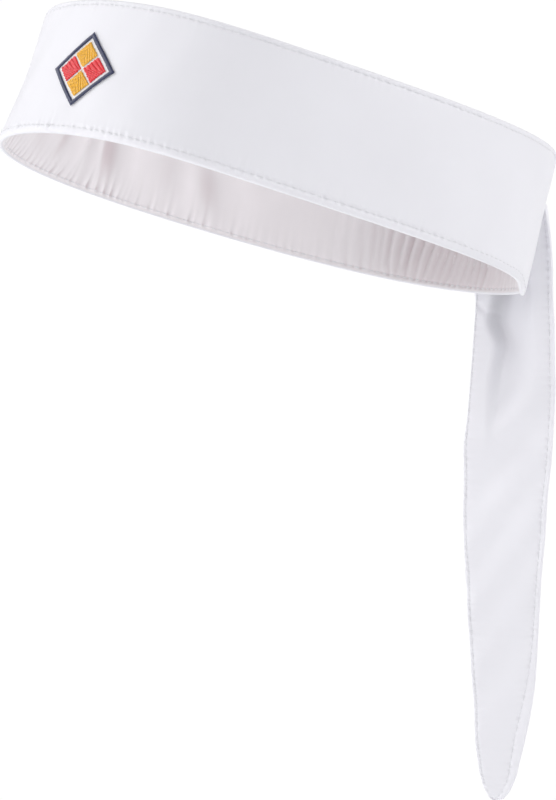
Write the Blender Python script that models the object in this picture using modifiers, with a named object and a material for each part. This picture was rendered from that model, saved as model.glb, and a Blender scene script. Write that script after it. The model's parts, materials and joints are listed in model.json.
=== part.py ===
"""Tie-back headband for racket sports, as separate cloth pieces, threads and an embroidered badge.

Metres, +Z up. The origin is where the lining meets the middle of the wearer's forehead. The
wearer's face looks along -Y and the wearer's left is +X. The band sits tilted, front edge high,
and both tails hang straight down. Places below are counted from the centre of the band's ring.
"""

import math

import bmesh
import bpy
import numpy as np
from mathutils import Matrix, Vector

MM = 0.001

# Head and band
HEAD_ROUND = 560 * MM
OUTLINE_WAVES = ((1.0, 0.869), (-0.038, -0.0285), (-0.046, 0.014))
EDGE_WAVES = (1.2 * MM, 1.0 * MM)
BAND_HEIGHT = 48 * MM
BAND_TILT = math.radians(19.8)
TAPER = 0.080
FRONT_TAPER = 0.010
CROWN = 0.35 * MM
RING_STEPS = 64

# Cloth layers, counted outwards from the middle of the band's thickness
CLOTH = 0.45 * MM
FACE_OUT = 1.0 * MM
LAYER_GAP = 0.15 * MM
HEM_DEPTH = 8 * MM
RIM_RETURN = 0.9 * MM
LINING_HALF = 22 * MM
FOREHEAD_HALF = 7.7 * MM
INTERLINING = 0.5 * MM
ELASTIC = 0.6 * MM
ELASTIC_HEIGHT = 24 * MM
ELASTIC_REACH = 70 * MM

# Stitching
THREAD = 0.15 * MM
TOP_STITCH_INSET = 1.9 * MM
BOTTOM_STITCH_INSET = 2.6 * MM
STITCH_LIFT = 0.27 * MM

# Badge: a lozenge with four smaller lozenges, whose sizes and places are shares of the whole
BADGE_HALF_WIDTH = 17 * MM
BADGE_HALF_HEIGHT = 13 * MM
BADGE_DROP = 1.5 * MM
BADGE_BORDER_INNER = 0.85
BADGE_GROUND_SIZE = 0.97
BADGE_CELL_PLACE = 0.39
BADGE_CELL_SIZE = 0.35
BADGE_GROUND = 0.35 * MM
BADGE_THREAD = 0.45 * MM

# Ties and knot
TIE_START = 40 * MM
TIE_END = 12.5 * MM
TIE_HALF_HEIGHTS = (15 * MM, 5.0 * MM)
TIE_THICKNESS = 1.0 * MM
KNOT_SIDE = -2 * MM
KNOT_DEPTH = 5.2 * MM
CORE_HALF = (10.5 * MM, 3.2 * MM, 6.0 * MM)
WRAP_RADIUS = 7.5 * MM
WRAP_TUBE = 1.0 * MM
WRAP_SCALE = (4.6, 0.575, 1.0)
ROPE = 2.5 * MM
GATHER = 3.6 * MM

# Tails. Both hang from places counted along and across the spine, a line just behind the knot.
SPINE = (-14.2 * MM, 98.9 * MM)
TAIL_FACING = math.radians(26)
TAIL_GAP = 0.3 * MM
TAIL_TOP = 4.6 * MM
BEND_GAP = 1.2 * MM
TAIL_STITCH_INSET = 2.0 * MM
TAIL_STEPS = 8

# Rows of (drop below the pivot, inner edge, outer edge)
LEFT_TAIL = {
    "along": 17.5 * MM,
    "across": 0.0,
    "height": -14 * MM,
    "turn": 0.0,
    "bend": 104 * MM,
    "rows": (
        (4, -7.0, 7.0),
        (12, -12.8, 13.6),
        (46, -13.2, 16.7),
        (84, -15.8, 17.9),
        (120, -18.0, 15.3),
        (156, -15.8, 12.8),
        (193, -13.4, 10.1),
        (215, -11.4, 5.4),
        (223, -9.9, 3.1),
        (228, -7.7, 0.3),
        (230.1, -5.9, -1.9),
        (230.6, -3.9, -3.9),
    ),
}
RIGHT_TAIL = {
    "along": -2.4 * MM,
    "across": 20 * MM,
    "height": -48 * MM,
    "turn": math.radians(90),
    "bend": 78 * MM,
    "rows": (
        (4, -2.8, 5.5),
        (14, -1.8, 9.5),
        (27, -3.6, 14.0),
        (50, -6.6, 18.0),
        (84, -12.4, 19.0),
        (114, -9.8, 18.0),
        (138, -7.0, 15.5),
        (160, -3.6, 11.0),
        (167, -1.8, 8.9),
        (171.5, 0.1, 6.7),
        (174, 1.9, 4.7),
        (174.5, 2.9, 2.9),
    ),
}
LEFT_ROPE = ((-1.0, 98.2, -22.4), (-0.6, 99.2, -17.0), (0.0, 99.9, -13.8), (0.9, 101.2, -12.9))
RIGHT_ROPE = (
    (-5.0, 94.2, -45.6),
    (-12.0, 93.4, -46.6),
    (-20.0, 94.0, -46.9),
    (-26.5, 97.8, -46.4),
    (-29.0, 104.0, -46.0),
    (-27.2, 110.4, -46.2),
)

# Blank care label inside the back
LABEL_ARCS = (9 * MM, 21 * MM)
LABEL_UPS = (1 * MM, 17 * MM)
LABEL_THICKNESS = 0.2 * MM

PALETTE = {
    "white_microfibre": ((0.86, 0.86, 0.89), 0.55),
    "pale_lining": ((0.72, 0.68, 0.70), 0.45),
    "white_interlining": ((0.80, 0.80, 0.79), 0.90),
    "white_elastic": ((0.78, 0.78, 0.78), 0.80),
    "white_thread": ((0.82, 0.82, 0.84), 0.50),
    "white_twill": ((0.88, 0.88, 0.88), 0.70),
    "navy_thread": ((0.013, 0.021, 0.091), 0.50),
    "yellow_thread": ((1.0, 0.43, 0.01), 0.50),
    "red_thread": ((0.72, 0.005, 0.02), 0.50),
    "label_satin": ((0.85, 0.85, 0.86), 0.35),
}


# Scene, materials and placing


def clear_scene():
    for old in list(bpy.data.objects):
        bpy.data.objects.remove(old, do_unlink=True)


def new_collection(name):
    made = bpy.data.collections.new(name)
    bpy.context.scene.collection.children.link(made)
    return made


def new_material(name, colour, roughness):
    made = bpy.data.materials.new(name)
    made.use_nodes = True
    shader = made.node_tree.nodes["Principled BSDF"]
    shader.inputs["Base Color"].default_value = (*colour, 1.0)
    shader.inputs["Roughness"].default_value = roughness
    shader.inputs["Metallic"].default_value = 0.0
    return made


clear_scene()
HEADBAND = new_collection("sports_headband")
MATERIALS = {name: new_material(name, *look) for name, look in PALETTE.items()}


def new_empty(name, location, rotation=(0, 0, 0), parent=None):
    made = bpy.data.objects.new(name, None)
    made.empty_display_size = 10 * MM
    made.location = location
    made.rotation_euler = rotation
    made.parent = parent
    HEADBAND.objects.link(made)
    return made


def add_piece(name, data, material, parent):
    made = bpy.data.objects.new(name, data)
    made.parent = parent
    data.materials.append(MATERIALS[material])
    HEADBAND.objects.link(made)
    return made


def adopt(piece, name, material, parent):
    """Takes an object that an operator made into the headband's collection."""
    for holder in list(piece.users_collection):
        holder.objects.unlink(piece)
    HEADBAND.objects.link(piece)
    piece.name = name
    piece.parent = parent
    piece.data.materials.append(MATERIALS[material])
    piece.data.shade_smooth()


def solidify(piece, thickness):
    thicken = piece.modifiers.new("cloth thickness", "SOLIDIFY")
    thicken.thickness = thickness
    thicken.offset = 0
    thicken.use_even_offset = True
    return piece


# The band's surface


def wave_sum(turn, column, trig):
    return sum(wave[column] * trig((i + 1) * turn) for i, wave in enumerate(OUTLINE_WAVES))


def outline_table():
    """Arc length around the head at each of many turns, and the scale that gives HEAD_ROUND."""
    turns = np.linspace(-math.pi, math.pi, 1441)
    front = np.array([wave_sum(t, 0, math.cos) for t in turns])
    side = np.array([wave_sum(t, 1, math.sin) for t in turns])
    steps = np.hypot(np.diff(front), np.diff(side))
    scale = HEAD_ROUND / steps.sum()
    arcs = np.concatenate([[0], np.cumsum(steps)]) * scale
    return turns, arcs - HEAD_ROUND / 2, scale


TURNS, ARCS, OUTLINE_SCALE = outline_table()
# Half a step round, so that a flat facet lies across the front centre and another across the back
RING_TURNS = [2 * math.pi * (i + 0.5) / RING_STEPS for i in range(RING_STEPS)]


def turn_at(arc):
    """The turn at this arc length from the front centre, positive towards the wearer's left."""
    lap = (arc + HEAD_ROUND / 2) % HEAD_ROUND - HEAD_ROUND / 2
    return float(np.interp(lap, ARCS, TURNS))


def surface(turn, up):
    """A point on the middle of the band's thickness, before the band's tilt."""
    flare = (TAPER + FRONT_TAPER * math.cos(turn)) * up
    front = OUTLINE_SCALE * wave_sum(turn, 0, math.cos) - flare * math.cos(turn)
    side = OUTLINE_SCALE * wave_sum(turn, 1, math.sin) - flare * math.sin(turn)
    lift = EDGE_WAVES[0] * math.cos(2 * turn) + EDGE_WAVES[1] * math.cos(3 * turn)
    return Vector((side, -front, up + lift))


def ring_point(turn, out, up):
    """A point this far out from the middle surface, which swells slightly at mid height."""
    small = 1e-4
    along = surface(turn + small, up) - surface(turn - small, up)
    upward = surface(turn, up + small) - surface(turn, up - small)
    outward = along.cross(upward).normalized()
    swell = CROWN * (1 - (2 * up / BAND_HEIGHT) ** 2)
    return surface(turn, up) + outward * (out + swell)


def forehead_point():
    """The middle of the lining's inner face at the front centre."""
    half_step = math.pi / RING_STEPS
    turns = (-half_step, half_step)
    ups = (-FOREHEAD_HALF, FOREHEAD_HALF)
    corners = [ring_point(turn, -FACE_OUT, up) for turn in turns for up in ups]
    return Matrix.Rotation(-BAND_TILT, 3, "X") @ (sum(corners, Vector()) / len(corners))


# Sheets and threads that follow the band


def grid_mesh(name, rows, closed):
    """A quad grid through rows of points, joined last to first where closed."""
    mesh = bmesh.new()
    grid = [[mesh.verts.new(point) for point in row] for row in rows]
    pairs = list(zip(grid, grid[1:] + grid[:1] if closed else grid[1:]))
    for row, following in pairs:
        for i in range(len(row) - 1):
            mesh.faces.new((row[i], following[i], following[i + 1], row[i + 1]))
    bmesh.ops.recalc_face_normals(mesh, faces=mesh.faces)
    data = bpy.data.meshes.new(name)
    mesh.to_mesh(data)
    mesh.free()
    data.shade_smooth()
    data.set_sharp_from_angle(angle=math.radians(40))
    return data


def ring_sheet(name, profile, thickness, material, turns=None):
    """A cloth strip with this (out, up) profile, all round the head or along the given turns."""
    closed = turns is None
    turns = RING_TURNS if closed else turns
    rows = [[ring_point(turn, out, up) for out, up in profile] for turn in turns]
    piece = add_piece(name, grid_mesh(name, rows, closed), material, BAND_FRAME)
    return solidify(piece, thickness)


def spline_piece(name, points, radius, material, parent, cyclic=False):
    """A round thread or rope through the points."""
    curve = bpy.data.curves.new(name, "CURVE")
    curve.dimensions = "3D"
    curve.bevel_depth = radius
    curve.bevel_resolution = 0 if radius < ROPE else 2
    curve.use_fill_caps = not cyclic
    spline = curve.splines.new("POLY")
    spline.points.add(len(points) - 1)
    for knot, point in zip(spline.points, points):
        knot.co = (*point, 1)
    spline.use_cyclic_u = cyclic
    return add_piece(name, curve, material, parent)


def ring_thread(name, out, up):
    points = [ring_point(turn, out, up) for turn in RING_TURNS]
    return spline_piece(name, points, THREAD, "white_thread", BAND_FRAME, cyclic=True)


# Band layers


def shell_profile():
    """Outer face, a rim turned over both edges, and a hem that runs back between the layers."""
    wall = FACE_OUT - CLOTH / 2
    edge = BAND_HEIGHT / 2 - CLOTH / 2
    hem = LAYER_GAP / 2 - CLOTH / 2
    returned = edge - RIM_RETURN
    half = (
        (hem, BAND_HEIGHT / 2 - HEM_DEPTH),
        (hem, returned - 0.4 * MM),
        (-wall, returned),
        (-wall, edge),
        (wall, edge),
        (wall, BAND_HEIGHT / 4),
    )
    return half + ((wall, 0),) + tuple((out, -up) for out, up in reversed(half))


def add_band_layers():
    ring_sheet("outer_shell", shell_profile(), CLOTH, "white_microfibre")
    inner = CLOTH / 2 - FACE_OUT
    half = (LINING_HALF, 0.8 * LINING_HALF, FOREHEAD_HALF)
    ups = half + tuple(-up for up in reversed(half))
    ring_sheet("lining", [(inner, up) for up in ups], CLOTH, "pale_lining")
    reach = BAND_HEIGHT / 2 - HEM_DEPTH - 0.5 * MM
    stop = turn_at(HEAD_ROUND / 2 - ELASTIC_REACH - 1 * MM)
    turns = np.linspace(-stop, stop, RING_STEPS * 3 // 4)
    profile = [(0, reach), (0, 0), (0, -reach)]
    ring_sheet("interlining", profile, INTERLINING, "white_interlining", turns)


def back_turns(first, last, steps):
    """Turns from one arc to another, both counted from the back centre towards the left."""
    return [turn_at(HEAD_ROUND / 2 - arc) % (2 * math.pi) for arc in np.linspace(first, last, steps)]


def add_back_elastic():
    turns = back_turns(-ELASTIC_REACH, ELASTIC_REACH, 17)
    profile = [(0, ELASTIC_HEIGHT / 2), (0, 0), (0, -ELASTIC_HEIGHT / 2)]
    ring_sheet("back_elastic", profile, ELASTIC, "white_elastic", turns)


def add_edge_threads():
    out = FACE_OUT + STITCH_LIFT
    top = BAND_HEIGHT / 2 - TOP_STITCH_INSET
    bottom = BOTTOM_STITCH_INSET - BAND_HEIGHT / 2
    ring_thread("top_needle_thread", out, top)
    ring_thread("bottom_needle_thread", out, bottom)
    ring_thread("top_bobbin_thread", -out, top)
    ring_thread("bottom_bobbin_thread", -out, bottom)


def add_care_label():
    inner = -FACE_OUT - LABEL_THICKNESS / 2 - LAYER_GAP
    turns = back_turns(*LABEL_ARCS, 4)
    profile = [(inner, LABEL_UPS[0]), (inner, LABEL_UPS[1])]
    ring_sheet("care_label", profile, LABEL_THICKNESS, "label_satin", turns)


# Badge


def badge_point(x, y, out):
    """A place on the badge, in its half width and half height, laid on the band's front."""
    return ring_point(turn_at(x * BADGE_HALF_WIDTH), out, y * BADGE_HALF_HEIGHT - BADGE_DROP)


def lozenge(name, centre, size, out, thickness, material):
    """A filled lozenge with its corners on the badge's axes."""
    steps = 6
    rows = []
    for i in range(steps + 1):
        row = []
        for j in range(steps + 1):
            u, v = 2 * i / steps - 1, 2 * j / steps - 1
            x, y = centre[0] + size * (u - v) / 2, centre[1] + size * (u + v) / 2
            row.append(badge_point(x, y, out + thickness / 2))
        rows.append(row)
    piece = add_piece(name, grid_mesh(name, rows, False), material, BAND_FRAME)
    return solidify(piece, thickness)


def lozenge_frame(name, inner, outer, out, thickness, material):
    """A closed border between two lozenges."""
    steps = 7
    corners = ((1, 0), (0, 1), (-1, 0), (0, -1))
    rows = []
    for start, end in zip(corners, corners[1:] + corners[:1]):
        for i in range(steps):
            x = start[0] + (end[0] - start[0]) * i / steps
            y = start[1] + (end[1] - start[1]) * i / steps
            rows.append([badge_point(x * size, y * size, out + thickness / 2) for size in (inner, outer)])
    piece = add_piece(name, grid_mesh(name, rows, True), material, BAND_FRAME)
    return solidify(piece, thickness)


def add_badge():
    ground_out = FACE_OUT + LAYER_GAP
    thread_out = ground_out + BADGE_GROUND + LAYER_GAP
    lozenge("badge_ground", (0, 0), BADGE_GROUND_SIZE, ground_out, BADGE_GROUND, "white_twill")
    lozenge_frame("badge_border", BADGE_BORDER_INNER, 1, thread_out, BADGE_THREAD, "navy_thread")
    shift = BADGE_CELL_PLACE
    cells = (
        ("badge_top_cell", (0, shift), "yellow_thread"),
        ("badge_bottom_cell", (0, -shift), "yellow_thread"),
        ("badge_left_cell", (shift, 0), "red_thread"),
        ("badge_right_cell", (-shift, 0), "red_thread"),
    )
    for name, centre, material in cells:
        lozenge(name, centre, BADGE_CELL_SIZE, thread_out, BADGE_THREAD, material)


# Ties and knot


def add_tie(name, side):
    """A strap sewn beside the back centre that narrows and lifts off the band at the knot."""
    steps = 9
    lie = FACE_OUT + LAYER_GAP * 2 + TIE_THICKNESS / 2
    rows = []
    for i in range(steps):
        share = i / (steps - 1)
        arc = TIE_START + (TIE_END - TIE_START) * share
        ease = share * share * (3 - 2 * share)
        half = TIE_HALF_HEIGHTS[0] + (TIE_HALF_HEIGHTS[1] - TIE_HALF_HEIGHTS[0]) * ease
        out = lie + (FACE_OUT + KNOT_DEPTH - lie) * max(0.0, 2 * ease - 1)
        turn = turn_at(HEAD_ROUND / 2 - side * arc - KNOT_SIDE)
        rows.append([ring_point(turn, out, half * step) for step in (-1, 0, 1)])
    piece = add_piece(name, grid_mesh(name, rows, False), "white_microfibre", BAND_FRAME)
    return solidify(piece, TIE_THICKNESS)


def add_knot():
    place = ring_point(turn_at(HEAD_ROUND / 2 - KNOT_SIDE), FACE_OUT + KNOT_DEPTH + LAYER_GAP, 0)
    frame = new_empty("knot_frame", place, (-math.atan(TAPER), 0, 0), BAND_FRAME)
    bpy.ops.mesh.primitive_uv_sphere_add(segments=20, ring_count=12, radius=1)
    core = bpy.context.object
    bpy.ops.mesh.primitive_torus_add(
        major_segments=24,
        minor_segments=8,
        major_radius=WRAP_RADIUS,
        minor_radius=WRAP_TUBE,
        rotation=(0, math.pi / 2, 0),
    )
    wrap = bpy.context.object
    bpy.ops.object.transform_apply(location=False, rotation=True, scale=False)
    for name, piece, scale in (("knot_core", core, CORE_HALF), ("knot_wrap", wrap, WRAP_SCALE)):
        for vertex in piece.data.vertices:
            vertex.co = [value * factor for value, factor in zip(vertex.co, scale)]
        adopt(piece, name, "white_microfibre", frame)


def add_neck(name, path):
    """The gathered cloth that runs from the knot to a tail."""
    points = [Vector(point) * MM for point in path]
    spline_piece(name, points, ROPE, "white_microfibre", HEADBAND_FRAME)


# Tails


def edge_at(rows, drop, column):
    """A tail edge's distance from the pivot line at this drop, smooth through the rows."""
    drops = [row[0] * MM for row in rows]
    values = [row[column] * MM for row in rows]
    slopes = np.gradient(values, drops)
    steps = np.abs(np.diff(values) / np.diff(drops))
    limit = 2 * np.minimum(steps[:-1], steps[1:])
    slopes[1:-1] = np.clip(slopes[1:-1], -limit, limit)
    i = min(max(int(np.searchsorted(drops, drop)) - 1, 0), len(drops) - 2)
    span = drops[i + 1] - drops[i]
    t = (drop - drops[i]) / span
    return (
        (2 * t**3 - 3 * t**2 + 1) * values[i]
        + (t**3 - 2 * t**2 + t) * span * slopes[i]
        + (3 * t**2 - 2 * t**3) * values[i + 1]
        + (t**3 - t**2) * span * slopes[i + 1]
    )


def tail_outline(rows, first, last, inset=0.0):
    """The inner edge downwards and the outer edge upwards, with points closest at the last drop."""
    shares = [math.sin(math.pi / 2 * i / TAIL_STEPS) for i in range(TAIL_STEPS + 1)]
    drops = [first + (last - first) * share for share in shares]
    inner = [(edge_at(rows, drop, 1) + inset, -drop) for drop in drops]
    outer = [(edge_at(rows, drop, 2) - inset, -drop) for drop in drops]
    return inner, outer[::-1]


def add_ply(name, outline, depth, frame):
    """A flat cloth ply with this outline, at a depth behind the tail's middle."""
    curve = bpy.data.curves.new(name, "CURVE")
    curve.dimensions = "2D"
    curve.fill_mode = "BOTH"
    curve.extrude = CLOTH / 2
    spline = curve.splines.new("POLY")
    spline.points.add(len(outline) - 1)
    for knot, (x, y) in zip(spline.points, outline):
        knot.co = (x, y, 0, 1)
    spline.use_cyclic_u = True
    piece = add_piece(name, curve, "white_microfibre", frame)
    piece.location = (0, depth, 0)
    piece.rotation_euler = (math.pi / 2, 0, 0)
    return piece


def add_tail_part(name, shape, first, last, parent):
    """Two plies, front towards the head, between two drops below the pivot."""
    inner, outer = tail_outline(shape["rows"], first, last)
    depth = (CLOTH + TAIL_GAP) / 2
    add_ply(f"{name}_front_ply", inner + outer, -depth, parent)
    add_ply(f"{name}_back_ply", inner + outer, depth, parent)


def tail_thread(name, points, parent):
    depth = -(CLOTH + TAIL_GAP / 2 + STITCH_LIFT)
    points = [(x, depth, z) for x, z in points]
    return spline_piece(name, points, THREAD, "white_thread", parent)


def add_tail(side, shape):
    """One tail: the gathered cloth at the top, an upper and a lower length, and their stitching."""
    along = Vector((math.cos(TAIL_FACING), math.sin(TAIL_FACING), 0))
    across = Vector((-along.y, along.x, 0))
    place = Vector((*SPINE, shape["height"])) + along * shape["along"] + across * shape["across"]
    facing = (0, 0, TAIL_FACING + shape["turn"])
    pivot = new_empty(f"{side}_tail_pivot", place, facing, HEADBAND_FRAME)
    bpy.ops.mesh.primitive_uv_sphere_add(segments=14, ring_count=8, radius=GATHER)
    gather = bpy.context.object
    adopt(gather, f"{side}_tail_gather", "white_microfibre", pivot)
    rows = shape["rows"]
    bend, tip = shape["bend"], rows[-1][0] * MM
    upper_end, lower_start = bend - BEND_GAP / 2, bend + BEND_GAP / 2
    add_tail_part(f"{side}_tail_upper", shape, TAIL_TOP, upper_end, pivot)
    add_tail_part(f"{side}_tail_lower", shape, lower_start, tip - 0.3 * MM, pivot)
    inset = TAIL_STITCH_INSET
    thread_top, thread_gap = TAIL_TOP + 2 * MM, 1 * MM
    inner, outer = tail_outline(rows, thread_top, upper_end - thread_gap, inset)
    tail_thread(f"{side}_tail_upper_inner_thread", inner, pivot)
    tail_thread(f"{side}_tail_upper_outer_thread", outer, pivot)
    inner, outer = tail_outline(rows, lower_start + thread_gap, tip - 4 * MM, inset)
    tail_thread(f"{side}_tail_lower_thread", inner + outer, pivot)


HEADBAND_FRAME = new_empty("headband_frame", -forehead_point())
BAND_FRAME = new_empty("band_frame", (0, 0, 0), (-BAND_TILT, 0, 0), HEADBAND_FRAME)
add_band_layers()
add_back_elastic()
add_edge_threads()
add_care_label()
add_badge()
add_tie("left_tie", 1)
add_tie("right_tie", -1)
add_knot()
add_neck("left_tail_neck", LEFT_ROPE)
add_neck("right_tail_neck", RIGHT_ROPE)
add_tail("left", LEFT_TAIL)
add_tail("right", RIGHT_TAIL)
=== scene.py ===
"""The looks of a tie-back sports headband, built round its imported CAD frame.

Metres, in the frame's own axes. The band's cloth is laid out by arc length round the head from the
front centre, by height above the band's middle (up) and by distance out from the middle of its
thickness (out). Each tail is laid out by its drop below its pivot and its share across its width.
"""

import json
import math

import bmesh
import bpy
import numpy as np
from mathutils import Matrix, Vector


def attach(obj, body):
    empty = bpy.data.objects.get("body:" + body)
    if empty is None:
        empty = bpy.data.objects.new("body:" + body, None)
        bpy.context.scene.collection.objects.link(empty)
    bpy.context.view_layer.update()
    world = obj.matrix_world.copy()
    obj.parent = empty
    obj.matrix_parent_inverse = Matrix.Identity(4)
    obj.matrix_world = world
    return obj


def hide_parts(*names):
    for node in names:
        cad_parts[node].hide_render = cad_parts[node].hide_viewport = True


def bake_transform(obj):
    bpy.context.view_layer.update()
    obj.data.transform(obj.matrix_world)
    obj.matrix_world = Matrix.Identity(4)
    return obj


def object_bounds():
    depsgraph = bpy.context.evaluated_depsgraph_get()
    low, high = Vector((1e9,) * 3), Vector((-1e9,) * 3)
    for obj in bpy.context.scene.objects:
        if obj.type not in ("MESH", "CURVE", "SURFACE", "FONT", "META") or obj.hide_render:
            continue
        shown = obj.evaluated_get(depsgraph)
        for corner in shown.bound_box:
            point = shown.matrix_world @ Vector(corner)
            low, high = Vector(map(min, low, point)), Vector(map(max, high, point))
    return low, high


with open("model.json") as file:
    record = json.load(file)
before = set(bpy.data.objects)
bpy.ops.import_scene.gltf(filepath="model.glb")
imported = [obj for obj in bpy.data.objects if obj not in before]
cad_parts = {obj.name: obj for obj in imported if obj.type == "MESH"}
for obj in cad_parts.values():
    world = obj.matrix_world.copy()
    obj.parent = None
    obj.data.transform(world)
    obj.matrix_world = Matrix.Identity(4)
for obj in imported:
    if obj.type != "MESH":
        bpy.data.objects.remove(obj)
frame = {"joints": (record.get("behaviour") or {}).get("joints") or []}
CAD_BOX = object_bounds()

MM = 0.001
JOINTS = {joint["name"]: joint for joint in frame["joints"]}

# Band outline, as the CAD part has it
HEAD_ROUND = 560 * MM
OUTLINE_WAVES = ((1.0, 0.869), (-0.038, -0.0285), (-0.046, 0.014))
EDGE_WAVES = (1.2 * MM, 1.0 * MM)
BAND_HALF = 24 * MM
BAND_TILT = math.radians(19.8)
TAPER = 0.080
FRONT_TAPER = 0.010
CROWN = 0.35 * MM
RING_STEPS = 64
FACE_OUT = 1.0 * MM
FOREHEAD_HALF = 7.7 * MM

# Cloth and sewing
CLOTH = 0.45 * MM
BAND_COLUMNS = 1152
STITCHES = 192
PITCH = HEAD_ROUND / STITCHES
TOP_LINE = BAND_HALF - 1.9 * MM
BOTTOM_LINE = 2.6 * MM - BAND_HALF
LINING_LINE = BOTTOM_LINE - 0.8 * MM
RIM_CENTRE = 23.2 * MM
RIM_WALL = 0.62 * MM
RIM_HEIGHT = 0.62 * MM
THREAD = 0.17 * MM
THREAD_SIDES = 6
STITCH_ARCH = 0.06 * MM
STITCH_GAP = 0.34 * MM
GROOVE_DEPTH = 0.04 * MM
HOLE_DEPTH = 0.26 * MM
HOLE_SHADE = 0.15
HEM_SHADE = 0.12
SHIRR_REACH = (25 * MM, 75 * MM)
CREASE = math.radians(50)

# Outer cloth: puffed places beside its seams, as (height, width, how far out)
OUTER_PUFFS = (
    (BOTTOM_LINE - 1.1 * MM, 0.8 * MM, 0.20 * MM),
    (BOTTOM_LINE + 1.5 * MM, 1.1 * MM, 0.10 * MM),
    (TOP_LINE + 0.9 * MM, 0.6 * MM, 0.12 * MM),
)

# Where the band was pressed flat: (arc, width, how far in), and its sagging edge as (arc, width, drop)
LEFT_PRESS = (-64 * MM, 24 * MM, 1.6 * MM)
RIGHT_PRESS = (210 * MM, 24 * MM, 1.7 * MM)
SAG = (217 * MM, 11 * MM, 2.7 * MM)

# Materials: pitches in millimetres
WEAVE_PITCH = 0.36
SATIN_FLOAT = 0.28
SATIN_CUT = 1.309
TWILL_PITCH = 0.5
RIB_PITCH = 0.9
TWIST = 0.55
# The warm tint of the painted shade in the lining's folds and holes
PAINTED_SHADE_WARMTH = (0.84, 0.70, 0.72)

# Lining folds, in millimetres: (arc, height, width, reach up and down, how far in, lean)
LINING_FOLDS = (
    (-84, 4, 2.6, 12, 0.7, -0.4), (-92, 2, 2.8, 14, -0.6, -0.4), (-98, 0, 2.4, 13, 0.6, -0.3),
    (-103.5, -8, 2.4, 11, -0.9, -0.3), (-111, -10, 3.2, 12, 0.8, -0.2), (-116, -4, 2.2, 10, -0.5, 0.0),
    (-120.5, -8, 2.8, 12, 0.8, 0.1), (-127, -8, 4.2, 11, -1.3, 0.2), (-137, -6, 4.5, 14, 0.8, 0.2),
    (-153, -4, 6.0, 14, -0.4, 0.2), (-163, -12, 3.5, 9, 0.7, 0.2), (-172, -8, 5.0, 11, -1.1, 0.25),
    (-185, -6, 6.0, 14, 0.9, 0.3), (-214, -4, 9.0, 16, 0.4, 0.0),
)
FOLD_DEPTH = 1.5 * MM
PLEAT_LEANS = (-0.3, 0.15)
LINING_THICKNESS = 0.3 * MM
LINING_FULLNESS = 1.5 * MM

# Filling: felt, and elastic to this distance from the back centre
ELASTIC_REACH = 70 * MM
FELT_HALF = 15.5 * MM
FELT_THICKNESS = 0.5 * MM
ELASTIC_HALF = 12 * MM
ELASTIC_THICKNESS = 0.6 * MM

# Badge
BADGE_HALF = (17 * MM, 13 * MM)
BADGE_DROP = 1.5 * MM
BADGE_INNER = 0.85
BADGE_CELL_PLACE = 0.39
BADGE_CELL_SIZE = 0.35
GROUND_SIZE = 0.97
GROUND_THICKNESS = 0.3 * MM
GROUND_LIFT = 0.16 * MM
STRAND_PITCH = 0.36 * MM
STRAND_RUN = 3.0 * MM
SHORTEST_STRAND = 0.4 * MM
BORDER_PITCH = 0.31 * MM
STRAND_SIZE = (0.27 * MM, 0.16 * MM)
STRAND_ARCH = 0.42 * MM
STRAND_LIFT = 0.30 * MM

# Care label: its side edges, counted from the back centre, and its top and bottom
LABEL_SIDES = (9 * MM, 21 * MM)
LABEL_ENDS = (17 * MM, 1 * MM)
LABEL_THICKNESS = 0.18 * MM
LABEL_STITCH = 1.9 * MM
LABEL_STITCH_PITCH = 2.4 * MM

# Ties and knot
TIE_ARCS = (41 * MM, 8 * MM)
TIE_HALVES = (15 * MM, 4.6 * MM)
KNOT_SIDE = -2 * MM
KNOT_DEPTH = 5.2 * MM
LAYER_GAP = 0.15 * MM
TIE_LIFT = 0.9 * MM

# Knot, in millimetres: the core across the head, away from it and up, and the wrap's last two
CORE_RADII = (11.0, 3.7, 6.3)
WRAP_RADII = (4.35, 7.45)

# Tails, in millimetres: rows of (drop, inner edge, outer edge)
TAIL_FACING = math.radians(26)
TAILS = {
    "left": {
        "turn": 0.0,
        "bend": 104,
        "seed": 40,
        "pleats": 3.5,
        "rows": (
            (4, -7.0, 7.0), (12, -12.8, 13.6), (46, -13.2, 16.7), (84, -15.8, 17.9),
            (120, -18.0, 15.3), (156, -15.8, 12.8), (193, -13.4, 10.1), (215, -11.4, 5.4),
            (223, -9.9, 3.1), (228, -7.7, 0.3), (230.1, -5.9, -1.9), (230.6, -3.9, -3.9),
        ),
    },
    "right": {
        "turn": math.radians(90),
        "bend": 78,
        "seed": 60,
        "pleats": -2.5,
        "rows": (
            (4, -2.8, 5.5), (14, -1.8, 9.5), (27, -3.6, 14.0), (50, -6.6, 18.0),
            (84, -12.4, 19.0), (114, -9.8, 18.0), (138, -7.0, 15.5), (160, -3.6, 11.0),
            (167, -1.8, 8.9), (171.5, 0.1, 6.7), (174, 1.9, 4.7), (174.5, 2.9, 2.9),
        ),
    },
}
TAIL_COLUMNS = 56
TAIL_SPLIT = 30
TAIL_PITCH = 2.8
BEND_REACH = 15
TIP_REACH = 12
TURN_REACH = 12
ROW_STEP = 0.56
GATHER_TOP = 3.4
GATHER_HALF = 3.0
PLY_HALF = 0.42
WANDER_LENGTH = 240

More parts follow.
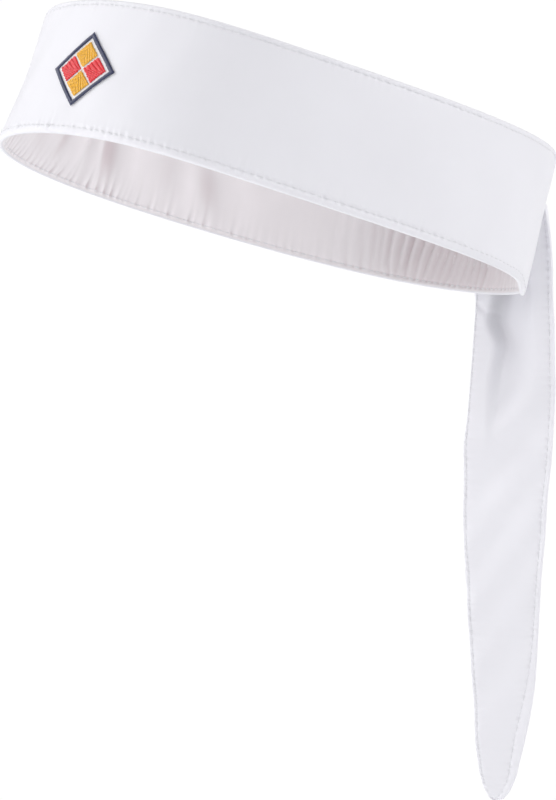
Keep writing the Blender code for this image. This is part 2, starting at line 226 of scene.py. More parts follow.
# Necks, in millimetres from the ring's centre, and how far each is gathered
NECKS = {
    "left": (
        (-1.4, 95.5, -29.0), (-1.0, 98.2, -22.4), (-0.6, 99.2, -17.0), (0.0, 100.3, -12.9),
        (0.8, 102.8, -10.7), (1.4, 105.2, -11.4), (1.6, 106.6, -14.5),
    ),
    "right": (
        (-1.5, 95.0, -40.0), (-5.0, 94.2, -45.6), (-12.0, 93.4, -46.6), (-20.0, 94.0, -46.9),
        (-26.5, 97.8, -46.4), (-29.0, 104.0, -45.4), (-28.0, 110.0, -44.6), (-26.3, 114.2, -45.2),
        (-25.2, 115.8, -48.5),
    ),
}
NECK_GUIDES = {"left": (1.0, 0.2, 0.1), "right": (0.3, -0.2, 1.0)}
NECK_BENDS = {"left": 0.45, "right": 0.62}
NECK_RADIUS = 2.55 * MM
NECK_STEPS = 90

# Camera: where it stands and looks, with the ring's centre as its reference
CAMERA_PLACE = (1258.47 * MM, -1019.16 * MM, 129.04 * MM)
CAMERA_LOOK = (50.99, 7.61)
CAMERA_LENS = 211.4
CAMERA_SENSOR = 36
CAMERA_CLIPS = (0.05, 100)
FLOOR_GAP = 22 * MM
FLOOR_SHADE = (0.85, 0.85, 0.86)
FLOOR_GLOW = 0.3
FLOOR_RADIUS = 30

# Light: the world's strength, and softboxes by (azimuth, elevation, power)
WORLD_LIGHT = 0.2
WORLD_COLOUR = (0.97, 0.975, 1.0, 1)
WHITE_GLOW = 1.02
SOFTBOXES = {
    "left_softbox": (-60, 25, 15.5),
    "front_softbox": (0, 17, 8),
    "camera_softbox": (60, 25, 5),
    "top_softbox": (130, 60, 13),
    "back_softbox": (150, 25, 7.3),
}
SOFTBOX_DISTANCE = 1.7
SOFTBOX_SIZE = 1.0
SOFTBOX_DROP = 60 * MM


# Small maths


def unit(vectors):
    return vectors / np.linalg.norm(vectors, axis=-1, keepdims=True)


def smooth(value, low, high):
    """0 at low, 1 at high and eased in between; low may be the larger one."""
    share = np.clip((value - low) / (high - low), 0, 1)
    return share * share * (3 - 2 * share)


def between(value, low, in_low, in_high, high):
    """1 from in_low to in_high, and eased down to 0 at low and at high."""
    return smooth(value, low, in_low) * smooth(value, high, in_high)


def bump(value, centre, width):
    return np.exp(-(((value - centre) / width) ** 2))


def wander(share, seed, waves):
    """A smooth random curve that closes over each whole share, with a root mean square of about 1."""
    draws = np.random.default_rng(seed)
    numbers = np.arange(waves[0], waves[1] + 1)
    phases = draws.uniform(0, 2 * math.pi, len(numbers))
    sizes = draws.normal(0, 1, len(numbers)) * math.sqrt(2 / len(numbers))
    total = np.zeros(np.shape(share))
    for number, phase, size in zip(numbers, phases, sizes):
        total += size * np.sin(2 * math.pi * number * share + phase)
    return total


def circle(count):
    """Evenly spaced angles round a full turn."""
    return np.arange(count) / count * 2 * math.pi


def smooth_path(points, count):
    """A Catmull-Rom curve through the points."""
    knots = np.array(points, float)
    knots = np.vstack([2 * knots[0] - knots[1], knots, 2 * knots[-1] - knots[-2]])
    places = np.linspace(0, len(points) - 1 - 1e-9, count)
    index = places.astype(int)
    t = (places - index)[:, None]
    a, b, c, d = (knots[index + k] for k in range(4))
    curve = 2 * b + (c - a) * t + (2 * a - 5 * b + 4 * c - d) * t**2
    return 0.5 * (curve + (3 * b - a - 3 * c + d) * t**3)


# Meshes


PIECES = bpy.data.collections.new("headband_looks")
bpy.context.scene.collection.children.link(PIECES)


def mesh_piece(name, points, faces, corner_uv, finish, tone=None):
    """A shaded piece from its points, its faces and a place in millimetres of cloth for each corner.

    finish is a material slot of the record. tone makes the cloth lighter or darker at each point: it
    holds painted shade and painted light at needle holes, folds and puckers, besides lighter hems.
    """
    data = bpy.data.meshes.new(name)
    data.from_pydata(points.reshape(-1, 3).tolist(), [], faces)
    if tone is not None:
        shades = data.attributes.new("tone", "FLOAT", "POINT")
        shades.data.foreach_set("value", np.asarray(tone, np.float32).ravel())
    layer = data.uv_layers.new(name="cloth")
    layer.data.foreach_set("uv", np.asarray(corner_uv, np.float32).ravel())
    work = bmesh.new()
    work.from_mesh(data)
    bmesh.ops.recalc_face_normals(work, faces=work.faces)
    work.to_mesh(data)
    work.free()
    data.shade_smooth()
    data.set_sharp_from_angle(angle=CREASE)
    data.materials.append(FINISHES[finish])
    piece = bpy.data.objects.new(name, data)
    PIECES.objects.link(piece)
    return piece


def grid_piece(name, points, uv, finish, closed_rows=False, closed_columns=False, caps=False, tone=None):
    """A piece from a grid of points. uv has one more row or column than points where the grid closes."""
    rows, columns = points.shape[:2]
    i, j = np.meshgrid(
        np.arange(rows if closed_rows else rows - 1),
        np.arange(columns if closed_columns else columns - 1),
        indexing="ij",
    )
    corners = ((i, j), (i, j + 1), (i + 1, j + 1), (i + 1, j))
    faces = np.stack([(a % rows) * columns + b % columns for a, b in corners], -1).reshape(-1, 4)
    corner_uv = np.stack([uv[a, b] for a, b in corners], -2).reshape(-1, 2)
    faces = faces.tolist()
    if caps:
        last = (rows - 1) * columns
        faces += [list(range(columns)), list(range(last, last + columns))]
        corner_uv = np.vstack([corner_uv, uv[0, :columns], uv[-1, :columns]])
    return mesh_piece(name, points, faces, corner_uv, finish, tone)


def loop_uv(rows_at, points):
    """Cloth places for closed rows: rows_at along them, and the running length round each."""
    steps = np.linalg.norm(np.roll(points, -1, axis=1) - points, axis=-1)
    across = np.concatenate([np.zeros((len(points), 1)), np.cumsum(steps, axis=1)], axis=1)
    along = np.broadcast_to(np.asarray(rows_at)[:, None], (len(rows_at), across.shape[1]))
    if len(rows_at) > len(points):
        across = np.vstack([across, across[:1]])
    return np.stack([along, across], -1) / MM


def tube_piece(name, points, rows_at, finish="white_microfibre", tone=None):
    """A capped tube from rings of points, with the place of each along it."""
    uv = loop_uv(rows_at, points)
    return grid_piece(name, points, uv, finish, closed_columns=True, caps=True, tone=tone)


def thread_piece(name, lines, normals, width, height, finish="white_thread"):
    """Short threads along lines (threads x steps x 3), width by height, tapered at both ends."""
    count, steps, sides = *lines.shape[:2], THREAD_SIDES
    along = unit(np.gradient(lines, axis=1))
    side = unit(np.cross(normals, along))
    lift = np.cross(along, side)
    angles = circle(sides)
    taper = np.sqrt(np.sin(np.linspace(0.06, 0.94, steps) * math.pi))[None, :, None, None]
    ring = side[:, :, None] * (width * np.cos(angles))[None, None, :, None]
    ring = ring + lift[:, :, None] * (height * np.sin(angles))[None, None, :, None]
    points = lines[:, :, None] + ring * taper
    n, k, a = np.meshgrid(np.arange(count), np.arange(steps - 1), np.arange(sides), indexing="ij")
    corners = ((k, a), (k, a + 1), (k + 1, a + 1), (k + 1, a))
    faces = np.stack([(n * steps + kk) * sides + aa % sides for kk, aa in corners], -1).reshape(-1, 4)
    lengths = np.linalg.norm(lines[:, -1] - lines[:, 0], axis=-1) / MM
    places = [np.stack([lengths[n] * kk / (steps - 1), aa / sides], -1) for kk, aa in corners]
    starts = np.arange(count)[:, None] * steps * sides + np.arange(sides)
    caps = np.vstack([starts[:, ::-1], starts + (steps - 1) * sides])
    corner_uv = np.vstack([np.stack(places, -2).reshape(-1, 2), np.zeros((caps.size, 2))])
    return mesh_piece(name, points, faces.tolist() + caps.tolist(), corner_uv, finish)


def thicken(piece, thickness):
    """Gives a one-sided sheet its thickness, half to each side."""
    modifier = piece.modifiers.new("thickness", "SOLIDIFY")
    modifier.thickness = thickness
    modifier.offset = 0


def give(piece, *nodes):
    """Hangs a piece on the headband, in place of these CAD nodes."""
    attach(piece, "headband")
    if nodes:
        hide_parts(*nodes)


def join(piece, first, second, start, end, *nodes):
    """Bakes a piece's placement into its mesh, in place of these CAD nodes. The two bodies and the start
    and end are not used.
    """
    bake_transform(piece)
    if nodes:
        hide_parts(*nodes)


# Materials


class Nodes:
    """A short way to write node trees."""

    def __init__(self, name):
        self.material = bpy.data.materials.new(name)
        self.material.use_nodes = True
        self.tree = self.material.node_tree
        self.shader = self.tree.nodes["Principled BSDF"]

    def add(self, kind, inputs=(), **settings):
        node = self.tree.nodes.new(kind)
        for key, value in settings.items():
            setattr(node, key, value)
        for key, value in dict(inputs).items():
            self.set(node.inputs[key], value)
        return node

    def set(self, socket, value):
        if isinstance(value, bpy.types.NodeSocket):
            self.tree.links.new(value, socket)
        else:
            socket.default_value = value

    def math(self, operation, *values, clamp=False):
        node = self.add("ShaderNodeMath", enumerate(values), operation=operation, use_clamp=clamp)
        return node.outputs[0]

    def times(self, a, b, clamp=False):
        return self.math("MULTIPLY", a, b, clamp=clamp)

    def plus(self, a, b):
        return self.math("ADD", a, b)

    def cloth_axes(self):
        """Sockets for the two directions of the cloth, in millimetres."""
        place = self.add("ShaderNodeUVMap", uv_map="cloth").outputs[0]
        split = self.add("ShaderNodeSeparateXYZ", {0: place})
        return split.outputs[0], split.outputs[1]

    def wave(self, socket, pitch):
        """A sine of 0 to 1 with this pitch in millimetres."""
        sine = self.math("SINE", self.times(socket, 2 * math.pi / pitch))
        return self.math("MULTIPLY_ADD", sine, 0.5, 0.5)

    def noise(self, scale, detail=2.0, rough=0.5):
        place = self.add("ShaderNodeTexCoord").outputs["Object"]
        inputs = {"Vector": place, "Scale": scale, "Detail": detail, "Roughness": rough}
        return self.add("ShaderNodeTexNoise", inputs).outputs["Fac"]

    def invert(self, value):
        return self.math("SUBTRACT", 1.0, value)

    def mix(self, share, a, b):
        node = self.add("ShaderNodeMix", data_type="RGBA")
        for socket, value in zip((node.inputs[0], node.inputs[6], node.inputs[7]), (share, a, b)):
            self.set(socket, value)
        return node.outputs[2]

    def span(self, value, low, high):
        node = self.add("ShaderNodeMapRange", {0: value, 3: low, 4: high})
        return node.outputs[0]

    def tone(self):
        return self.add("ShaderNodeAttribute", attribute_name="tone").outputs["Fac"]

    def toned(self, shade):
        """This colour made lighter or darker by the piece's own tone, which holds painted shade and
        painted light.
        """
        scaled = self.add("ShaderNodeVectorMath", {0: shade}, operation="SCALE")
        self.set(scaled.inputs["Scale"], self.plus(self.tone(), 1.0))
        return scaled.outputs[0]

    def complete(self, shade, roughness, bumps, gleam=0.5, sheen=0.0, sheen_roughness=0.5):
        """Sets the surface. Bump layers of (height, distance in mm, strength) lie on each other."""
        normal = None
        for height, distance, strength in bumps:
            inputs = {"Height": height, "Distance": distance * MM, "Strength": strength}
            node = self.add("ShaderNodeBump", inputs)
            if normal is not None:
                self.set(node.inputs["Normal"], normal)
            normal = node.outputs[0]
        chosen = {
            "Base Color": shade,
            "Roughness": roughness,
            "Normal": normal,
            "Specular IOR Level": gleam,
            "Sheen Weight": sheen,
            "Sheen Roughness": sheen_roughness,
        }
        for key, value in chosen.items():
            self.set(self.shader.inputs[key], value)
        return self.material


def colour(rgb, factor=1.0):
    return (*(min(1.0, channel * factor) for channel in rgb), 1.0)


def weave_height(nodes, along, across):
    """Over-and-under threads of a plain weave."""
    first, second = nodes.wave(along, WEAVE_PITCH), nodes.wave(across, WEAVE_PITCH)
    over = nodes.times(first, second)
    under = nodes.times(nodes.invert(first), nodes.invert(second))
    return nodes.plus(over, under)


def woven(name, rgb):
    """Plain woven cloth with fibre fuzz, soft unevenness in colour, painted shade in the gaps of its
    weave and a little sheen.
    """
    nodes = Nodes(name)
    height = weave_height(nodes, *nodes.cloth_axes())
    fibres = nodes.noise(2600.0, 4.0, 0.7)
    # Painted shade: a little darker in the gaps between the threads.
    gaps = nodes.times(nodes.invert(height), 0.06)
    shade = nodes.mix(nodes.noise(45.0, 3.0), colour(rgb, 0.975), colour(rgb, 1.02))
    shade = nodes.toned(nodes.mix(gaps, shade, colour(rgb, 0.8)))
    bumps = ((height, 0.03, 0.35), (fibres, 0.05, 0.5))
    return nodes.complete(shade, nodes.span(fibres, 0.55, 0.69), bumps, 0.4, 0.25, 0.45)


def satin(name, rgb, roughness):
    """Smooth satin: long floats that run round the head, a soft gleam, and the piece's painted shade,
    which turns warm where it is deep.
    """
    nodes = Nodes(name)
    along, across = nodes.cloth_axes()
    floats = nodes.wave(across, SATIN_FLOAT)
    cut = nodes.wave(nodes.plus(along, across), SATIN_CUT)
    fibres = nodes.noise(2200.0, 3.0, 0.6)
    shade = nodes.mix(nodes.noise(60.0, 3.0), colour(rgb, 0.96), colour(rgb, 1.03))
    # Painted shade: where the tone darkens the satin, it also turns warm.
    painted_shade_share = nodes.times(nodes.tone(), -2.5, clamp=True)
    warm_shade = tuple(channel * factor for channel, factor in zip(rgb, PAINTED_SHADE_WARMTH))
    shade = nodes.mix(painted_shade_share, nodes.toned(shade), (*warm_shade, 1.0))
    rough = nodes.span(fibres, roughness - 0.05, roughness + 0.08)
    bumps = ((floats, 0.02, 0.3), (cut, 0.01, 0.2), (fibres, 0.03, 0.3))
    return nodes.complete(shade, rough, bumps, gleam=0.45, sheen=0.15)


def twill(name, rgb):
    """Diagonal ribs, with painted shade in the grooves between them."""
    nodes = Nodes(name)
    ribs = nodes.wave(nodes.plus(*nodes.cloth_axes()), TWILL_PITCH)
    # Painted shade: darker in the grooves, lighter on the ribs.
    shade = nodes.mix(ribs, colour(rgb, 0.9), colour(rgb, 1.03))
    return nodes.complete(shade, nodes.span(nodes.noise(1800.0), 0.6, 0.8), ((ribs, 0.06, 0.5),))


def thread(name, rgb, roughness=0.42):
    """Twisted thread, with its plies winding round it and painted shade between them."""
    nodes = Nodes(name)
    along, across = nodes.cloth_axes()
    plies = nodes.wave(nodes.plus(nodes.times(along, 1 / TWIST), across), 1.0)
    patchy = nodes.noise(900.0, 2.0)
    # Painted shade: darker between the plies, lighter on them.
    shade = nodes.mix(nodes.times(plies, 0.7), colour(rgb, 0.78), colour(rgb, 1.06))
    shade = nodes.mix(nodes.times(patchy, 0.25), shade, colour(rgb, 0.8))
    rough = nodes.span(patchy, roughness - 0.08, roughness + 0.1)
    return nodes.complete(shade, rough, ((plies, 0.05, 0.6),), sheen=0.2)


def felt(name, rgb):
    """Non-woven interlining of matted fibres."""
    nodes = Nodes(name)
    fibres = nodes.noise(1500.0, 6.0, 0.7)
    shade = nodes.mix(fibres, colour(rgb, 0.86), colour(rgb, 1.06))
    return nodes.complete(shade, nodes.span(fibres, 0.85, 1.0), ((fibres, 0.1, 0.7),))


def ribbed(name, rgb):
    """Woven elastic, with fine ribs along it and painted shade between them."""
    nodes = Nodes(name)
    place = nodes.add("ShaderNodeTexCoord").outputs["Object"]
    height = nodes.add("ShaderNodeSeparateXYZ", {0: place}).outputs[2]
    ribs = nodes.wave(nodes.times(height, 1 / MM), RIB_PITCH)
    # Painted shade: darker between the ribs, lighter on them.
    shade = nodes.mix(ribs, colour(rgb, 0.85), colour(rgb, 1.05))
    return nodes.complete(shade, nodes.span(nodes.noise(1400.0), 0.65, 0.9), ((ribs, 0.15, 0.8),))


# Finishes, by the record's material slots
FINISHES = {
    "white_microfibre": woven("white_microfibre_cloth", (0.80, 0.795, 0.835)),
    "pale_lining": satin("pale_lining_satin", (0.76, 0.725, 0.745), 0.4),
    "white_thread": thread("white_sewing_thread", (0.80, 0.795, 0.83)),
    "white_twill": twill("white_badge_twill", (0.86, 0.86, 0.87)),
    "navy_thread": thread("navy_embroidery", (0.013, 0.02, 0.085), 0.45),
    "yellow_thread": thread("yellow_embroidery", (1.0, 0.50, 0.006), 0.4),
    "red_thread": thread("red_embroidery", (0.86, 0.004, 0.018), 0.4),
    "label_satin": satin("label_satin_cloth", (0.84, 0.84, 0.85), 0.35),
    "white_interlining": felt("interlining_felt", (0.80, 0.80, 0.79)),
    "white_elastic": ribbed("woven_elastic", (0.78, 0.78, 0.78)),
}


# The band's surface


def wave_sum(turn, column, trig):
    return sum(wave[column] * trig((i + 1) * turn) for i, wave in enumerate(OUTLINE_WAVES))


def outline_table():
    """Arc length round the head at each of many turns, and the scale that gives HEAD_ROUND."""
    turns = np.linspace(-math.pi, math.pi, 1441)
    steps = np.hypot(np.diff(wave_sum(turns, 0, np.cos)), np.diff(wave_sum(turns, 1, np.sin)))
    scale = HEAD_ROUND / steps.sum()
    arcs = np.concatenate([[0], np.cumsum(steps)]) * scale
    return turns, arcs - HEAD_ROUND / 2, scale


TURNS, ARCS, OUTLINE_SCALE = outline_table()


def lapped(arc):
    """This arc counted from the front centre, between minus and plus half the round."""
    return (np.asarray(arc) + HEAD_ROUND / 2) % HEAD_ROUND - HEAD_ROUND / 2


def turn_at(arc):
    """The turn at this arc from the front centre, positive towards the wearer's left."""
    return np.interp(lapped(arc), ARCS, TURNS)


def surface(turn, up):
    """Points on the middle of the band's thickness, before the band's tilt."""
    flare = (TAPER + FRONT_TAPER * np.cos(turn)) * up
    front = OUTLINE_SCALE * wave_sum(turn, 0, np.cos) - flare * np.cos(turn)
    side = OUTLINE_SCALE * wave_sum(turn, 1, np.sin) - flare * np.sin(turn)
    lift = EDGE_WAVES[0] * np.cos(2 * turn) + EDGE_WAVES[1] * np.cos(3 * turn)
    return np.stack(np.broadcast_arrays(side, -front, up + lift), -1)


def tilted(vectors):
    c, s = math.cos(-BAND_TILT), math.sin(-BAND_TILT)
    x, y, z = np.moveaxis(vectors, -1, 0)
    return np.stack([x, y * c - z * s, y * s + z * c], -1)


def soft_bend(arc, up):
    """How far the band gives inwards, and sags at its edge, where it was pressed flat at both sides."""
    left, right, sag = (
        depth * bump(lapped(arc), place, width) for place, width, depth in (LEFT_PRESS, RIGHT_PRESS, SAG)
    )
    inward = left * bump(up, 1 * MM, 14 * MM) + right * smooth(up, BAND_HALF, 8 * MM)
    return inward, sag * smooth(up, 0, -BAND_HALF)


def band_place(arc, out, up):
    """Points at this arc, distance out and height, with the outward directions there."""
    inward, sag = soft_bend(arc, up)
    turn, out, up = np.broadcast_arrays(turn_at(arc), out, up)
    small = 1e-4
    along = surface(turn + small, up) - surface(turn - small, up)
    upward = surface(turn, up + small) - surface(turn, up - small)
    outward = unit(np.cross(along, upward))
    swell = CROWN * (1 - (up / BAND_HALF) ** 2)
    points = surface(turn, up) + outward * (out + swell - inward)[..., None]
    points = points - sag[..., None] * np.array([0, 0, 1])
    return tilted(points) + RING_CENTRE, tilted(outward)


def band_point(arc, out, up):
    return band_place(arc, out, up)[0]


def ring_centre():
    """The ring's centre, counted from the middle of the lining at the forehead, which is the origin."""
    half_step = math.pi / RING_STEPS
    corners = [
        band_point(np.interp(turn, TURNS, ARCS), -FACE_OUT, up)
        for turn in (-half_step, half_step)
        for up in (-FOREHEAD_HALF, FOREHEAD_HALF)
    ]
    return -np.mean(corners, axis=0)


RING_CENTRE = np.zeros(3)
RING_CENTRE = ring_centre()


def from_back(arc):
    """Distance from the back centre."""
    return HEAD_ROUND / 2 - np.abs(lapped(arc))


def shirring(arc):
    """1 at the back, where the elastic draws the cloth together, and 0 away from it."""
    return smooth(from_back(arc), SHIRR_REACH[1], SHIRR_REACH[0])


def holes(arc, pitch=PITCH):
    """Nearly 1 at each needle hole and 0 between them."""
    turns = 2 * math.pi * arc / pitch
    pulled = 0.75 + 0.2 * np.sin(turns * 52 / STITCHES) + 0.15 * np.sin(turns * 125 / STITCHES + 1)
    return pulled * (0.5 + 0.5 * np.cos(turns)) ** 3


def sewn_line(arc, up, line):
    """How far a line of stitches draws the cloth in, most of all at the needle holes."""
    groove = GROOVE_DEPTH * bump(up, line, 0.6 * MM)
    return groove + HOLE_DEPTH * holes(arc) * bump(up, line, 0.55 * MM)


# Painted shade: darker at each needle hole along a sewn line.
def needle_hole_shade(arc, up, line):
    return -HOLE_SHADE * holes(arc) * bump(up, line, 0.45 * MM)


def puckers(arc, up, line, seed, reach, lean=0.0):
    """Ripples that run away from a line of stitches, most of them starting at a hole."""
    away = up - line
    place = arc - lean * away
    loose = wander(place / HEAD_ROUND, seed, (95, 190))
    strength = 0.6 + 0.6 * wander(place / HEAD_ROUND, seed + 100, (30, 120))
    pulled = -np.cos(2 * math.pi * place / PITCH) * strength
    return (0.6 * loose + 0.8 * pulled) * np.exp(-np.abs(away) / reach)


def plainness(arc):
    """1 where the seam shows plainly and less towards the wearer's left, where it's pressed flat."""
    return 1 - 0.8 * between(arc, 135 * MM, 175 * MM, 235 * MM, 262 * MM)


def outer_relief(arc, up):
    """How far the outer cloth stands out: puffed rims, sewn lines, puckers and soft waves."""
    share, slant = arc / HEAD_ROUND, up / HEAD_ROUND
    seam = sum(depth * bump(up, height, width) for height, width, depth in OUTER_PUFFS)
    for line, seed, depth in ((TOP_LINE, 1, 0.07 * MM), (BOTTOM_LINE, 2, 0.16 * MM)):
        seam = seam + depth * puckers(arc, up, line, seed, 1.8 * MM) - sewn_line(arc, up, line)
    waves = (
        0.30 * wander(share + 0.6 * slant, 3, (5, 13))
        + 0.10 * wander(share - 0.5 * slant, 5, (16, 34))
        + 0.22 * shirring(arc) * wander(share, 4, (80, 120))
    )
    inside = 1 - (np.abs(up) / BAND_HALF) ** 4
    return seam * plainness(arc) + waves * MM * inside


def outer_tone(arc, up):
    """Painted shade at the needle holes, and lighter where the hem doubles the cloth."""
    hem = smooth(up, BOTTOM_LINE - 0.1 * MM, BOTTOM_LINE - 0.9 * MM)
    plain = plainness(arc)
    # Painted shade at the needle holes of both seams, weaker at the bottom one.
    painted_holes = needle_hole_shade(arc, up, TOP_LINE) + 0.6 * plain * needle_hole_shade(arc, up, BOTTOM_LINE)
    return painted_holes + 0.02 * hem * (2.5 * plain - 1.5)


def pleat_lean(arc):
    """How far small pleats lean forward as they rise: least past the wearer's right temple."""
    turned = between(-arc, 105 * MM, 125 * MM, 235 * MM, 270 * MM)
    return PLEAT_LEANS[0] + (PLEAT_LEANS[1] - PLEAT_LEANS[0]) * turned


def lining_folds(arc, up):
    """The lining's larger folds, and the finer pleats where the elastic draws it together."""
    slant = (arc + 0.25 * up) / HEAD_ROUND
    folds = 0.22 * MM * wander(slant, 11, (14, 30)) * (1 - 0.5 * shirring(arc))
    for place, height, width, reach, depth, lean in LINING_FOLDS:
        along = arc - place * MM - lean * (up - height * MM)
        fold = bump(along, 0, width * MM) * bump(up, height * MM, reach * MM)
        folds = folds + FOLD_DEPTH * depth * fold
    pleats = wander((arc - pleat_lean(arc) * up) / HEAD_ROUND, 12, (80, 150))
    return folds + 0.5 * MM * pleats * shirring(arc)


def lining_inside(up):
    """1 over most of the lining, and 0 at its sewn edges."""
    return np.clip(1 - (np.abs(up) / TOP_LINE) ** 4, 0, 1)


def lining_puckers(arc, up):
    """Ripples at the lining's lower seam, strongest in front of the wearer's right ear."""
    gathered = 0.10 * MM + 0.22 * MM * smooth(np.abs(arc), 200 * MM, 130 * MM)
    return gathered * puckers(arc, up, LINING_LINE, 13, 3.4 * MM, pleat_lean(arc))


def lining_relief(arc, up):
    """How far the lining stands in towards the head: folds, pleats and puckers."""
    relief = (
        (LINING_FULLNESS + lining_folds(arc, up)) * lining_inside(up)
        + lining_puckers(arc, up)
        + 0.05 * MM * puckers(arc, up, TOP_LINE, 14, 2.5 * MM)
        - sewn_line(arc, up, TOP_LINE)
        - sewn_line(arc, up, LINING_LINE)
    )
    return np.maximum(relief, -0.35 * MM)


def lining_tone(arc, up):
    """Painted shade at the needle holes, painted light and shade on the folds and puckers, lighter below
    the lower seam, and broad painted light and shade: a lighter patch at the wearer's right and darker
    near the back.
    """
    folds = lining_folds(arc, up) * lining_inside(up) / MM
    # Painted light on folds that stand in, and painted shade down in the hollows between them.
    fold_light_and_shade = 0.05 * np.clip(folds, 0, 1.2) + 0.11 * np.clip(folds, -2, 0)
    # Painted light and shade on the puckers at the lower seam.
    pulled = 0.35 * np.clip(lining_puckers(arc, up) / MM, -0.5, 0.25)
    hem = 0.06 * smooth(up, LINING_LINE + 0.1 * MM, LINING_LINE - 0.5 * MM)
    # Broad painted light at the wearer's right, and painted shade near the back centre.
    broad_light_and_shade = 0.05 * bump(arc, -165 * MM, 60 * MM) - 0.10 * smooth(from_back(arc), 58 * MM, 12 * MM)
    # Painted shade at the needle holes of both seams.
    painted_holes = 0.7 * (needle_hole_shade(arc, up, TOP_LINE) + needle_hole_shade(arc, up, LINING_LINE))
    return fold_light_and_shade + pulled + hem + broad_light_and_shade + painted_holes


def thick_strip(outs, ups, thickness, spare=3):
    """The skin of a cloth strip whose middle has these outs and ups. Its far side has fewer points."""
    step_out, step_up = np.gradient(outs, axis=1), np.gradient(ups, axis=1)
    length = np.hypot(step_out, step_up) / (thickness / 2)
    side_out, side_up = -step_up / length, step_out / length
    keep = np.unique(np.append(np.arange(0, outs.shape[1], spare), outs.shape[1] - 1))[::-1]
    near_out, near_up = outs + side_out, ups + side_up
    far_out, far_up = (outs - side_out)[:, keep], (ups - side_up)[:, keep]
    return np.hstack([near_out, far_out]), np.hstack([near_up, far_up])


def column_arcs():
    return (np.arange(BAND_COLUMNS) / BAND_COLUMNS - 0.5) * HEAD_ROUND


def ring_piece(name, outs, ups, tone, thickness, finish):
    """A closed cloth ring whose middle has these outs and ups in each column round the head."""
    outs, ups = thick_strip(outs, ups, thickness)
    tone = np.hstack([tone, np.zeros((BAND_COLUMNS, outs.shape[1] - tone.shape[1]))])
    arcs = column_arcs()
    points = band_point(arcs[:, None], outs, ups)
    uv = loop_uv(np.append(arcs, arcs[0] + HEAD_ROUND), points)
    return grid_piece(name, points, uv, finish, closed_rows=True, closed_columns=True, tone=tone)


def face_ups():
    """Heights down the band's face, closest together at the sewn lines."""
    near_top = np.linspace(RIM_CENTRE, TOP_LINE - 1.2 * MM, 10)
    near_bottom = np.linspace(BOTTOM_LINE + 2.0 * MM, -RIM_CENTRE, 14)
    middle = np.linspace(near_top[-1], near_bottom[0], 17)[1:-1]
    return np.concatenate([near_top, middle, near_bottom])


def rim_points(end):
    """The hem at one edge: a run between the layers, then a flat turn over the edge to the face."""
    hem = [(-0.15 * MM, 16.5 * MM), (-0.15 * MM, 20 * MM), (-0.2 * MM, RIM_CENTRE - 1.0 * MM)]
    hem += [(-0.6 * MM, RIM_CENTRE - 0.55 * MM)]
    angles = np.linspace(math.pi, 0, 9)[:-1]
    over = [(RIM_WALL * math.cos(a), RIM_CENTRE + RIM_HEIGHT * math.sin(a)) for a in angles]
    return [(out, up * end) for out, up in hem + over]


def face_out(up):
    """How far out the outer cloth's face lies here, before its relief: the edges are pressed flat."""
    pressed = FACE_OUT - CLOTH / 2 - RIM_WALL
    return FACE_OUT - pressed * smooth(np.abs(up), TOP_LINE - 1 * MM, RIM_CENTRE)


def add_outer_cloth():
    path = rim_points(1) + [(RIM_WALL, up) for up in face_ups()] + rim_points(-1)[::-1]
    path_outs, heights = np.array(path).T
    arcs = column_arcs()[:, None]
    facing = np.clip(path_outs / RIM_WALL, 0, 1) ** 2
    flat = np.where(facing > 0.99, face_out(heights) - CLOTH / 2, path_outs)
    outs = flat + facing * outer_relief(arcs, heights)
    shaded = np.clip(-path_outs / RIM_WALL, 0, 1) * (heights < 0)
    heights = np.broadcast_to(heights, outs.shape)
    tone = facing * outer_tone(arcs, heights) - HEM_SHADE * shaded
    piece = ring_piece("band_outer_cloth", outs, heights, tone, CLOTH, "white_microfibre")
    give(piece, "outer_shell")


def add_lining_cloth():
    ups = face_ups()
    inner = 0.05 * MM - FACE_OUT
    tuck_out, tuck_up = inner + 0.1 * MM, ups[0] + 0.25 * MM
    path = [(tuck_out, tuck_up)] + [(inner, up) for up in ups] + [(tuck_out, -tuck_up)]
    outs, heights = np.array(path[::-1]).T
    arcs = column_arcs()[:, None]
    sewn = smooth(np.abs(heights), RIM_CENTRE + 0.2 * MM, RIM_CENTRE - 0.8 * MM)
    facing = (outs == inner) * sewn
    outs = outs - facing * lining_relief(arcs, heights)
    heights = np.broadcast_to(heights, outs.shape)
    tone = facing * lining_tone(arcs, heights)
    piece = ring_piece("band_lining_cloth", outs, heights, tone, LINING_THICKNESS, "pale_lining")
    give(piece, "lining")


def strip_piece(name, middle, reach, steps, half, thickness, finish):
    """A flat strip in the middle of the band's thickness, centred on the arc called middle."""
    arcs = middle + np.linspace(-reach, reach, steps)
    ups = np.linspace(half, -half, 9)[None, :]
    outs, heights = thick_strip(np.zeros(ups.shape), ups, thickness, spare=1)
    return tube_piece(name, band_point(arcs[:, None], outs, heights), arcs, finish)


def add_filling():
    """The felt between the layers, open at the back, and the elastic that closes it there."""
    back = HEAD_ROUND / 2
    size = (back - ELASTIC_REACH - 1 * MM, 220, FELT_HALF, FELT_THICKNESS)
    give(strip_piece("interlining_felt", 0, *size, "white_interlining"), "interlining")
    size = (ELASTIC_REACH, 90, ELASTIC_HALF, ELASTIC_THICKNESS)
    give(strip_piece("woven_back_elastic", back, *size, "white_elastic"), "back_elastic")


# Stitching on the band


def stitch_lines(first, last, place):
    """Thread lines from first to last along a seam, by a function that gives points and normals."""
    steps = np.linspace(0, 1, 7)
    points, normals = place(first[:, None] + (last - first)[:, None] * steps)
    arch = np.sqrt(np.sin(np.linspace(0.02, 0.98, 7) * math.pi))
    rise = (STITCH_ARCH + THREAD) * arch - 1.1 * THREAD
    return points + normals * rise[None, :, None], normals


